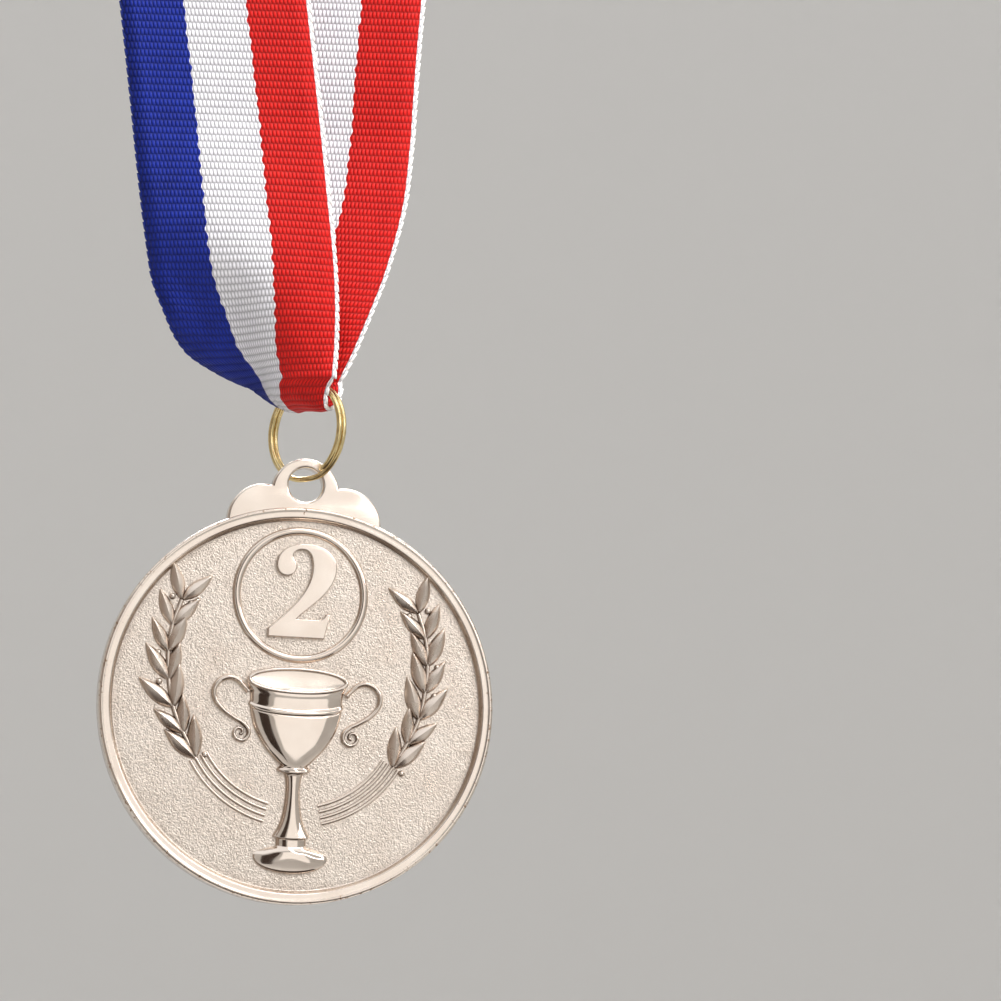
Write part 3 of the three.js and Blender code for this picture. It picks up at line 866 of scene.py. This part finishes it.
def bead_ring(name, centre, radius, width, low, high, steps=160):
    """A raised ring of half-round section, from low to high in mm in front of the disc's middle plane."""
    sides = 12
    points, faces = [], []
    for cos, sin in round_turns(steps):
        for j in range(sides):
            b = math.pi * j / (sides - 1)
            reach = radius + width / 2 * math.cos(b)
            x, z = centre[0] + reach * cos, centre[1] + reach * sin
            points.append(on_disc(x, z, low + (high - low) * math.sin(b)))
    for k in range(steps):
        faces += faces_between(k * sides, (k + 1) % steps * sides, sides)
    return face_outward(mesh_object(name, points, faces, [polished_plate]))


right_shoulder = arc_points(shoulder_middle, shoulder_radius, -15, 100.5, 28)
left_shoulder = [(-x, z) for x, z in reversed(right_shoulder)]
root_arc = arc_points((0, 0), lug_root, 113.8, 66.2, 40)[1:-1]
lobe_arc = arc_points((0, lobe_middle), lobe_radius, 9.5, 170.5, 44)[1:-1]
lug_outline = right_shoulder + lobe_arc + left_shoulder + root_arc
hole_outline = arc_points((0, hole_middle), hole_radius, 360, 0, 65)[:-1]
joins_medal(plate_from_outlines("hanging_lug", [lug_outline, hole_outline], lug_half, lug_edge_round, 0))
lip_middle = (0, hole_middle)
lip_reach = hole_radius + hole_lip
joins_medal(bead_ring("lug_hole_lip", lip_middle, lip_reach, hole_lip, *hole_lip_outs, steps=72))


# ---- Numeral and its ring ----
# A plain figure 2, cast in low relief in the upper part of the disc, with a polished flat top and soft
# edges, inside a half-round bead ring.

numeral_left = -4.15
numeral_foot = 8.4
numeral_top_out = 1.35
numeral_sunk = 0.2     # how far it reaches into the field
numeral_edge_round = 0.16
halo_middle = (-0.1, 13.9)
halo_radius = 8.12
halo_width = 1.1
halo_outs = (field_out - 0.1, field_out + 0.45)
# From the foot's left corner: a lone pair is the end of a straight line, three pairs are a curve.
numeral_route = [
    [(7.2, 0)], [(7.9, 3.2)], [(7.3, 3.2)], [(7.1, 2.6), (6.9, 2.4), (6.2, 2.4)], [(3.6, 2.4)],
    [(5, 3.9), (8.5, 6), (8.5, 9)], [(8.5, 11), (6.8, 12), (4.6, 12)], [(2.4, 12), (0.8, 10.9), (0.8, 9.2)],
    [(0.8, 8.4), (1.4, 7.8), (2.15, 7.8)], [(2.9, 7.8), (3.4, 8.4), (3.4, 9.05)],
    [(3.4, 9.9), (2.8, 10), (2.9, 10.5)], [(3, 11), (3.6, 11.2), (4.1, 11.2)],
    [(5, 11.2), (5.4, 10.3), (5.4, 9)], [(5.4, 6.2), (3, 3.6), (0, 1.1)],
]


def numeral_outline():
    at = Vector((0, 0, 0))
    outline = [at]
    for step in numeral_route:
        marks = [Vector((x, z, 0)) for x, z in step]
        if len(marks) == 1:
            outline.append(marks[0])
        else:
            outline += [bezier([at] + marks, k / 12) for k in range(1, 13)]
        at = marks[-1]
    return [(numeral_left + p.x, numeral_foot + p.y) for p in outline]


numeral_half = (numeral_top_out - field_out + numeral_sunk) / 2
numeral_out = numeral_top_out - numeral_half
joins_medal(plate_from_outlines(
    "numeral_two", [numeral_outline()], numeral_half, numeral_edge_round, numeral_out,
))
joins_medal(bead_ring("numeral_ring", halo_middle, halo_radius, halo_width, *halo_outs))


# ---- Cup ----
# A trophy cup in high relief, polished like a mirror: a domed foot, a waisted stem with a collar, a deep
# bowl with a rolled lip, and an oval mouth seen from a little above. It is cast in one with the disc.

cup_sunk = 0.55        # mm in front of the middle plane where the relief ends inside the field
# Up from the foot: height of the ends, half width, how far the middle sags below the ends, and relief.
cup_levels = [
    (-19.3, 4.3, 1.85, 0.2), (-19.05, 4.7, 2.15, 0.55), (-18.75, 4.72, 2.1, 0.85), (-18.35, 4.2, 1.5, 1.1),
    (-18, 3.0, 0.8, 1.2), (-17.75, 2.1, 0.45, 1.05), (-17.6, 1.95, 0.35, 0.92), (-17.5, 1.92, 0.32, 0.9),
    (-16.8, 1.95, 0.3, 0.9), (-16.66, 2.1, 0.3, 0.96), (-16.52, 2.4, 0.3, 1.06), (-16.3, 2.3, 0.28, 1.05),
    (-15.3, 1.75, 0.22, 0.95), (-14, 1.3, 0.16, 0.86), (-12, 1.0, 0.12, 0.8), (-10.2, 0.95, 0.12, 0.8),
    (-9, 1.12, 0.16, 0.85), (-8.55, 1.5, 0.25, 0.92), (-8.35, 2.0, 0.36, 1.06), (-8.1, 2.2, 0.42, 1.12),
    (-7.85, 2.0, 0.4, 1.06), (-7.6, 1.75, 0.4, 1.0), (-7, 2.35, 0.55, 1.1), (-5.5, 3.75, 0.78, 1.25),
    (-4, 4.75, 0.92, 1.36), (-2.6, 5.4, 1.02, 1.4), (-1.2, 5.75, 1.1, 1.39), (-0.6, 5.84, 1.13, 1.36),
    (-0.4, 5.84, 1.15, 1.28), (-0.2, 5.98, 1.18, 1.4), (0.05, 6.08, 1.2, 1.44), (0.28, 5.96, 1.22, 1.38),
    (0.5, 5.88, 1.22, 1.3), (1.1, 5.9, 1.26, 1.3), (1.8, 6.02, 1.32, 1.32), (2.35, 6.25, 1.42, 1.38),
    (2.75, 6.35, 1.5, 1.4), (3.0, 6.25, 1.46, 1.38),
]
cup_steps = 5
cup_sides = 40
mouth_middle = (-0.1, 2.9)
mouth_half = (6.15, 1.48)
lip_radius = 0.26
lip_steps = 96
lip_stretch = 1.2      # how much deeper than wide its section is
lip_out_middle = 1.78
lip_drop = 0.16        # how much further out the lip's near side stands than its middle
mouth_drop = 0.22
# Outward from the mouth's middle: share of its half size, then mm in front of the disc's middle plane.
mouth_rings = [(0.35, 1.53), (0.7, 1.56), (0.92, 1.62), (1, 1.7), (1, cup_sunk)]
mouth_middle_out = 1.52


def cup_mesh():
    keys = list(range(len(cup_levels)))
    columns_of = list(zip(*cup_levels))
    points, faces = [], []
    rings = (len(keys) - 1) * cup_steps + 1
    for i in range(rings):
        height, half, sag, relief = (eased(keys, values, i / cup_steps) for values in columns_of)
        for k in range(cup_sides + 1):
            turn = math.pi * (k / cup_sides - 0.5)
            bulge = math.cos(turn)
            out = cup_sunk + (field_out - cup_sunk + relief) * bulge ** 0.85
            points.append(on_disc(mouth_middle[0] + half * math.sin(turn), height - sag * bulge, out))
    row = cup_sides + 1
    for i in range(rings - 1):
        faces += faces_between(i * row, (i + 1) * row, row)
    faces.append(tuple(range(row)))
    faces.append(tuple((rings - 1) * row + k for k in range(row)))
    return points, faces


def mouth_mesh():
    """The shallow oval inside the mouth, a plate that falls away a little from the front of the lip."""
    steps = 72
    last = len(mouth_rings) - 1
    points, faces = [on_disc(*mouth_middle, mouth_middle_out)], []
    for share, out in mouth_rings:
        for cos, sin in round_turns(steps):
            lean = -mouth_drop * sin if out > cup_sunk else 0
            x = mouth_middle[0] + mouth_half[0] * share * cos
            z = mouth_middle[1] + mouth_half[1] * share * sin
            points.append(on_disc(x, z, out + lean * share))
    for k in range(steps):
        n = (k + 1) % steps
        faces.append((0, 1 + k, 1 + n))
        for ring in range(last):
            a, b = 1 + ring * steps, 1 + (ring + 1) * steps
            faces.append((a + k, b + k, b + n, a + n))
    faces.append(tuple(1 + last * steps + k for k in range(steps))[::-1])
    return points, faces


def raised_wire(name, route, radii, out, height, closed=False, sides=10):
    """A wire in relief along a route in mm; height stretches its section forward from the field."""
    count = len(route)
    points, faces = [], []
    for i, (x, z) in enumerate(route):
        before = route[i - 1] if closed or i > 0 else route[i]
        after = route[(i + 1) % count] if closed or i < count - 1 else route[i]
        along = Vector((after[0] - before[0], after[1] - before[1])).normalized()
        level = out[i] if isinstance(out, list) else out
        for cos, sin in round_turns(sides):
            reach = radii[i] * cos
            ahead = level + height * radii[i] * sin
            points.append(on_disc(x - along.y * reach, z + along.x * reach, ahead))
    for i in range(count if closed else count - 1):
        faces += faces_between(i * sides, (i + 1) % count * sides, sides)
    if not closed:
        faces.append(tuple(range(sides)))
        faces.append(tuple((count - 1) * sides + k for k in range(sides)))
    return face_outward(mesh_object(name, points, faces, [mirror_plate]))


mirror_plate = silver_plate("silver_plate_mirror", 2.5, 0.006, 0.05, 0.12)
joins_medal(face_outward(mesh_object("cup_body", *cup_mesh(), [mirror_plate])))
mouth = face_outward(mesh_object("cup_mouth", *mouth_mesh(), [polished_plate]))
mouth.data.set_sharp_from_angle(angle=math.radians(40))
joins_medal(mouth)
lip_route, lip_out = [], []
for cos, sin in round_turns(lip_steps):
    lip_route.append((mouth_middle[0] + mouth_half[0] * cos, mouth_middle[1] + mouth_half[1] * sin))
    lip_out.append(lip_out_middle - lip_drop * sin)
joins_medal(raised_wire("cup_lip", lip_route, [lip_radius] * lip_steps, lip_out, lip_stretch, closed=True))


# ---- Cup handles ----
# Two thin scrolled handles in relief, thickest at the crest and tapered to a curl beside the bowl. They are
# part of the same casting, and polished.

handle_route = [
    (6.2, 1.35), (6.75, 1.95), (7.6, 2.75), (8.7, 3.05), (9.9, 2.55), (10.55, 1.4), (10.3, 0.1),
    (9.25, -1.1), (7.9, -2.0), (6.75, -2.6), (6.05, -3.35), (6.05, -4.2), (6.7, -4.8), (7.5, -4.6),
    (7.85, -3.95), (7.5, -3.3), (6.9, -3.35), (6.75, -3.85), (7.1, -4.05),
]
handle_radii = [
    0.36, 0.32, 0.34, 0.38, 0.38, 0.36, 0.34, 0.32, 0.3, 0.3, 0.3, 0.28, 0.27, 0.26, 0.24, 0.22, 0.2, 0.19,
    0.17,
]
handle_out = field_out + 0.1
handle_stretch = 1.9


def smooth_route(marks, values, steps):
    keys = list(range(len(marks)))
    xs, zs = zip(*marks)
    route, widths = [], []
    for i in range((len(marks) - 1) * steps + 1):
        route.append((eased(keys, xs, i / steps), eased(keys, zs, i / steps)))
        widths.append(eased(keys, values, i / steps))
    return route, widths


for side, name in ((-1, "cup_handle_left"), (1, "cup_handle_right")):
    marks = [(side * x, z) for x, z in handle_route]
    route, widths = smooth_route(marks, handle_radii, 8)
    joins_medal(raised_wire(name, route, widths, handle_out, handle_stretch))


# ---- Laurel ----
# A laurel branch in relief on each side of the cup: a thin stem with pairs of pointed, ridged leaves that
# spread from it, and small round berries between them. It is cast in one with the disc.

laurel_stem = [
    (12.5, -7.4), (13.2, -6), (14.5, -3.6), (15.6, -1), (16.3, 2.5), (16.5, 6), (16.1, 9.3), (15.1, 12.4),
]
leaf_rows = 7
leaf_size = (1.9, 5.4, 0.8)      # width, length, relief
leaf_spread = math.radians(27)
leaf_shake = 0.12                # radians either way
leaf_scale = (0.9, 1.08)
berry_size = 0.85
berry_reach = 1.25               # from the stem
stem_radius = 0.3


def laurel_tree(name, material):
    """Leaves in pairs along a stem, berries beside some of them, and the stem itself."""
    tree, given = new_tree(name, {
        "Stem": "Geometry", "Rows": "Int", "Spread": "Float", "Berry Size": "Float", "Stem Radius": "Float",
        "Leaf Size": "Vector",
    }, "Laurel")
    line = add_node(tree, "GeometryNodeMeshToCurve", {"Mesh": given["Stem"]}).outputs[0]

    # One leaf from a small ball: pinched to a point at both ends, with a ridge along its middle.
    small_ball = {"Segments": 16, "Rings": 12, "Radius": 1.0}
    ball = add_node(tree, "GeometryNodeMeshUVSphere", small_ball).outputs[0]
    at = add_node(tree, "GeometryNodeInputPosition").outputs[0]
    apart = add_node(tree, "ShaderNodeSeparateXYZ", {0: at}).outputs
    found = {"x": apart[0], "y": apart[2], "z": apart[1]}
    sums = [
        ("near", "MULTIPLY", "y", "y"),
        ("near", "SUBTRACT", 1.0, "near"),
        ("pinch", "MULTIPLY_ADD", "near", 0.55, 0.45),
        ("low", "MULTIPLY_ADD", "y", -0.18, 1.0),
        ("pinch", "MULTIPLY", "pinch", "low"),
        ("x", "MULTIPLY", "x", "pinch"),
        ("x", "MULTIPLY", "x", 0.5),
        ("side", "ABSOLUTE", "x"),
        ("ridge", "MULTIPLY_ADD", "side", -1.15, 1.0),
        ("z", "MAXIMUM", "z", -0.3),
        ("z", "MULTIPLY", "z", "ridge"),
        ("y", "MULTIPLY_ADD", "y", 0.5, 0.5),
    ]
    for result, operation, *values in sums:
        inputs = {i: found[v] if isinstance(v, str) else v for i, v in enumerate(values)}
        found[result] = add_node(tree, "ShaderNodeMath", inputs, operation=operation).outputs[0]
    shaped = add_node(tree, "ShaderNodeCombineXYZ", {0: found["x"], 1: found["y"], 2: found["z"]}).outputs[0]
    leaf = add_node(tree, "GeometryNodeSetPosition", {"Geometry": ball, "Position": shaped}).outputs[0]

    made = []
    rows = {"Curve": line, "Count": given["Rows"]}
    spots = add_node(tree, "GeometryNodeCurveToPoints", rows, mode="COUNT").outputs
    pointing = {"Vector": spots["Tangent"]}
    along = add_node(tree, "FunctionNodeAlignRotationToVector", pointing, axis="Y").outputs[0]
    number = add_node(tree, "GeometryNodeInputIndex").outputs[0]
    for seed, way in ((3, -1), (8, 1)):
        spread = {0: given["Spread"], 1: float(way)}
        turn = add_node(tree, "ShaderNodeMath", spread, operation="MULTIPLY").outputs[0]
        shake = {2: -leaf_shake, 3: leaf_shake, "ID": number, "Seed": seed}
        off = add_node(tree, "FunctionNodeRandomValue", shake, data_type="FLOAT").outputs[1]
        turn = add_node(tree, "ShaderNodeMath", {0: turn, 1: off}, operation="ADD").outputs[0]
        turned = add_node(tree, "ShaderNodeCombineXYZ", {"Z": turn}).outputs[0]
        rotated = {"Rotation": along, "Rotate By": turned}
        laid = add_node(tree, "FunctionNodeRotateRotation", rotated, rotation_space="LOCAL").outputs[0]
        vary = {2: leaf_scale[0], 3: leaf_scale[1], "ID": number, "Seed": seed + 1}
        size = add_node(tree, "FunctionNodeRandomValue", vary, data_type="FLOAT").outputs[1]
        scale = {0: given["Leaf Size"], "Scale": size}
        sized = add_node(tree, "ShaderNodeVectorMath", scale, operation="SCALE").outputs[0]
        put = {"Points": spots["Points"], "Instance": leaf, "Rotation": laid, "Scale": sized}
        made.append(add_node(tree, "GeometryNodeInstanceOnPoints", put).outputs[0])
    berry = add_node(tree, "GeometryNodeMeshIcoSphere", {"Radius": 0.5, "Subdivisions": 2}).outputs[0]
    for seed, way in ((5, -1.0), (6, 1.0)):
        across = {0: spots["Tangent"], 1: (0, 0, way)}
        beside = add_node(tree, "ShaderNodeVectorMath", across, operation="CROSS_PRODUCT").outputs[0]
        away = {0: beside, "Scale": berry_reach}
        reach = add_node(tree, "ShaderNodeVectorMath", away, operation="SCALE").outputs[0]
        moved = {"Geometry": spots["Points"], "Offset": reach}
        there = add_node(tree, "GeometryNodeSetPosition", moved).outputs[0]
        pick = {"Probability": 0.5, "Seed": seed, "ID": number}
        some = add_node(tree, "FunctionNodeRandomValue", pick, data_type="BOOLEAN").outputs[3]
        put = {"Points": there, "Selection": some, "Instance": berry, "Scale": given["Berry Size"]}
        made.append(add_node(tree, "GeometryNodeInstanceOnPoints", put).outputs[0])
    round_stem = {"Resolution": 8, "Radius": given["Stem Radius"]}
    section = add_node(tree, "GeometryNodeCurvePrimitiveCircle", round_stem)
    swept = {"Curve": line, "Profile Curve": section.outputs[0], "Fill Caps": True}
    made.append(add_node(tree, "GeometryNodeCurveToMesh", swept).outputs[0])

    joined = add_node(tree, "GeometryNodeJoinGeometry")
    for part in reversed(made):
        tree.links.new(part, joined.inputs[0])
    return end_tree(tree, joined.outputs[0], "Laurel", material)


# A tree works flat, in mm, and the finished mesh is stood up on the disc.
stand_on_field = Matrix((
    (mm, 0, 0, 0), (0, 0, -mm, -field_out * mm), (0, mm, 0, disc_centre.z), (0, 0, 0, 1),
))
for side, name in ((-1, "laurel_left"), (1, "laurel_right")):
    stem, _ = smooth_route([(side * x, z) for x, z in laurel_stem], [0] * len(laurel_stem), 6)
    source = line_mesh(name + "_stem", [[(x, z, 0.05) for x, z in stem]])
    sizes = {
        "Rows": leaf_rows, "Spread": leaf_spread, "Berry Size": berry_size,
        "Stem Radius": stem_radius, "Leaf Size": leaf_size,
    }
    laurel = grown(name, source, laurel_tree(name, satin_plate), sizes)
    laurel.data.transform(stand_on_field)
    laurel.data.set_sharp_from_angle(angle=math.radians(50))
    joins_medal(laurel)


# ---- Ridges below the laurel ----
# Fine concentric ridges on each side, cast with the disc from the end of each branch towards the foot of the
# cup, with polished tops.

ridge_count = 4
ridge_inner = 12.9
ridge_pitch = 0.77
ridge_radius = 0.24
ridge_sweep = math.radians(46)
ridge_starts = {"ridges_right": -76, "ridges_left": -150}


def ridge_tree(name, material):
    """Arcs round one middle, each one pitch further out than the last, with a round section."""
    tree, given = new_tree(name, {
        "Middle": "Geometry", "Count": "Int", "Inner Radius": "Float", "Pitch": "Float",
        "Ridge Radius": "Float", "Start": "Float", "Sweep": "Float",
    }, "Ridges")
    span = {"Resolution": 40, "Radius": 1.0, "Start Angle": given["Start"], "Sweep Angle": given["Sweep"]}
    arc = add_node(tree, "GeometryNodeCurveArc", span, mode="RADIUS").outputs[0]
    spots = add_node(tree, "GeometryNodeMeshLine", {"Count": given["Count"], "Offset": (0, 0, 0)}).outputs[0]
    number = add_node(tree, "GeometryNodeInputIndex").outputs[0]
    grow = {0: number, 1: given["Pitch"], 2: given["Inner Radius"]}
    radius = add_node(tree, "ShaderNodeMath", grow, operation="MULTIPLY_ADD").outputs[0]
    put = {"Points": spots, "Instance": arc, "Scale": radius}
    arcs = add_node(tree, "GeometryNodeInstanceOnPoints", put).outputs[0]
    real = add_node(tree, "GeometryNodeRealizeInstances", {0: arcs}).outputs[0]
    round_ridge = {"Resolution": 10, "Radius": given["Ridge Radius"]}
    section = add_node(tree, "GeometryNodeCurvePrimitiveCircle", round_ridge)
    swept = {"Curve": real, "Profile Curve": section.outputs[0], "Fill Caps": True}
    ridges = add_node(tree, "GeometryNodeCurveToMesh", swept).outputs[0]
    return end_tree(tree, ridges, "Ridges", material)


for name, start in ridge_starts.items():
    source = line_mesh(name + "_middle", [[(0, 0, 0), (0.1, 0, 0)]])
    sizes = {
        "Count": ridge_count, "Inner Radius": ridge_inner, "Pitch": ridge_pitch,
        "Ridge Radius": ridge_radius, "Start": math.radians(start), "Sweep": ridge_sweep,
    }
    ridges = grown(name, source, ridge_tree(name, polished_plate), sizes)
    ridges.data.transform(stand_on_field)
    joins_medal(ridges)


# ---- Floor, backdrop and light ----
# A wide pale bowl, whose floor curves up into a wall, so that every side of the medal is seen against the
# same plain grey. Big soft lamps stand in front and one behind. The key lamp only lights dull surfaces, and
# a wider, weaker one in the same place is all that the plating mirrors of it. Dark cards give the plating
# something dark to mirror. They don't show to the camera.

floor_z = -1.5
bowl_radius = 5.0
bowl_height = 5.5
bowl_corner = 1.2


def bowl_mesh():
    profile = [(0.001, floor_z), (bowl_radius - bowl_corner, floor_z)]
    for i in range(1, 13):
        a = math.pi / 2 * i / 12
        inward, risen = bowl_corner * (1 - math.sin(a)), bowl_corner * (1 - math.cos(a))
        profile.append((bowl_radius - inward, floor_z + risen))
    profile.append((bowl_radius, floor_z + bowl_height))
    steps = 96
    points, faces = [], []
    for radius, height in profile:
        points += [(radius * cos, radius * sin, height) for cos, sin in round_turns(steps)]
    for i in range(len(profile) - 1):
        faces += faces_between(i * steps, (i + 1) * steps, steps)
    faces.append(tuple(range(steps))[::-1])
    return points, faces


def plain_paint(name, colour, roughness):
    material, tree = new_material(name)
    end_material(tree, {"Base Color": linear(colour), "Roughness": roughness})
    return material


backdrop_paint = plain_paint("matt_backdrop_paint", "#dad8d5", 0.95)
bowl = mesh_object("studio_bowl", *bowl_mesh(), [backdrop_paint])


def soft_lamp(name, azimuth, elevation, distance, size, power):
    """A rectangular lamp that faces the disc."""
    toward = direction(azimuth, elevation)
    data = bpy.data.lights.new(name, "AREA")
    data.shape = "RECTANGLE"
    data.size, data.size_y = size
    data.energy = power
    lamp = new_object(name, data)
    facing = toward.to_track_quat("Z", "Y").to_matrix().to_4x4()
    lamp.matrix_world = Matrix.Translation(disc_centre + toward * distance) @ facing
    return lamp


key_lamp = soft_lamp("key_lamp", 40, 40, 1.1, (0.7, 0.7), 17)
key_lamp.visible_glossy = False
key_shine = soft_lamp("key_shine", 40, 40, 1.1, (0.9, 0.9), 12)
key_shine.visible_diffuse = False
soft_lamp("fill_lamp", 13, 10, 2.2, (1.5, 1.5), 4.7)
soft_lamp("back_lamp", 170, 40, 1.6, (0.9, 0.9), 26)


def dark_card(name, azimuth, elevation, distance, width, height, colour):
    toward = direction(azimuth, elevation)
    side = Vector((0, 0, 1)).cross(toward).normalized() * width
    rise = toward.cross(side.normalized()) * height
    middle = disc_centre + toward * distance
    signs = ((-0.5, -0.5), (0.5, -0.5), (0.5, 0.5), (-0.5, 0.5))
    corners = [middle + side * x + rise * y for x, y in signs]
    felt = plain_paint(name + "_felt", colour, 0.9)
    card = mesh_object(name, corners, [(0, 1, 2, 3)], [felt], smooth=False)
    card.visible_camera = False
    card.visible_shadow = False
    card.visible_diffuse = False


dark_card("low_card", -10, -72, 1.0, 2.0, 1.0, "#33261e")
dark_card("left_card", -72, 0, 1.0, 0.6, 1.4, "#7d7066")
dark_card("middle_card", -21, 6, 1.0, 0.34, 0.9, "#2a1c14")

bpy.context.scene.view_settings.view_transform = "Standard"
world = bpy.data.worlds.new("studio")
world.use_nodes = True
sky = world.node_tree.nodes["Background"].inputs
sky["Color"].default_value = linear("#f4f5f7")
sky["Strength"].default_value = 1.2
bpy.context.scene.world = world
